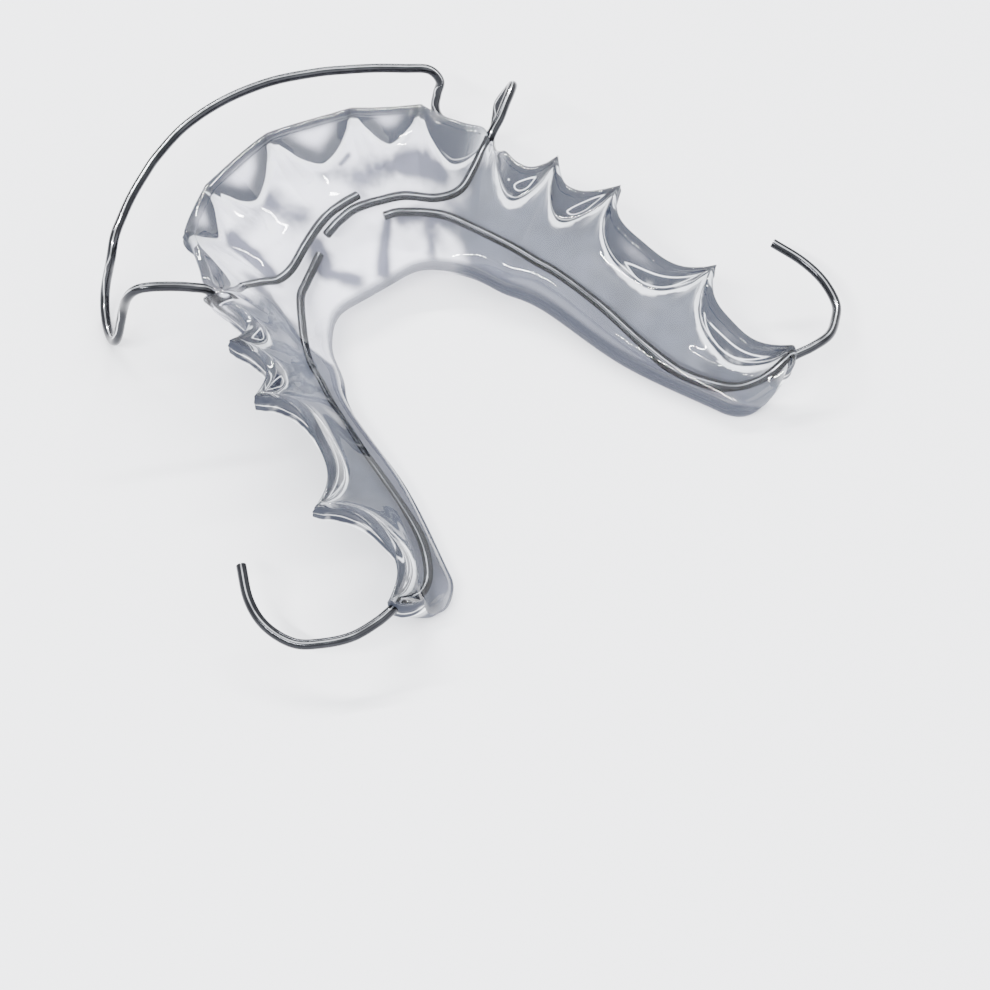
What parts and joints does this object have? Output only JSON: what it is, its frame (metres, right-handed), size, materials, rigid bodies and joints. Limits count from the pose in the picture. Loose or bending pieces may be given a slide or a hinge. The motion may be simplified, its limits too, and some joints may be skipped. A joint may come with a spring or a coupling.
{
  "type": "dental retainer",
  "caption": "Removable upper retainer: clear acrylic horseshoe base scalloped to the teeth, round-wire labial bow with canine loops, and a wire clasp round each rear molar.",
  "frame": {"origin": "centre of the bounding box at the floor, which the rear ends of the acrylic and the bottoms of the canine loops touch", "axes": "+Z points to the biting side of the teeth, +Y to the front of the mouth and +X to the wearer's left, across the arch"},
  "size_m": [0.0606, 0.0492, 0.01],
  "materials": {
    "clear_acrylic": "polished clear acrylic",
    "stainless_wire": "drawn stainless wire, polished"
  },
  "bodies": {
    "root": {"acrylic_baseplate": "clear_acrylic", "labial_bow": "stainless_wire", "left_molar_clasp": "stainless_wire", "right_molar_clasp": "stainless_wire"}
  },
  "joints": []
}
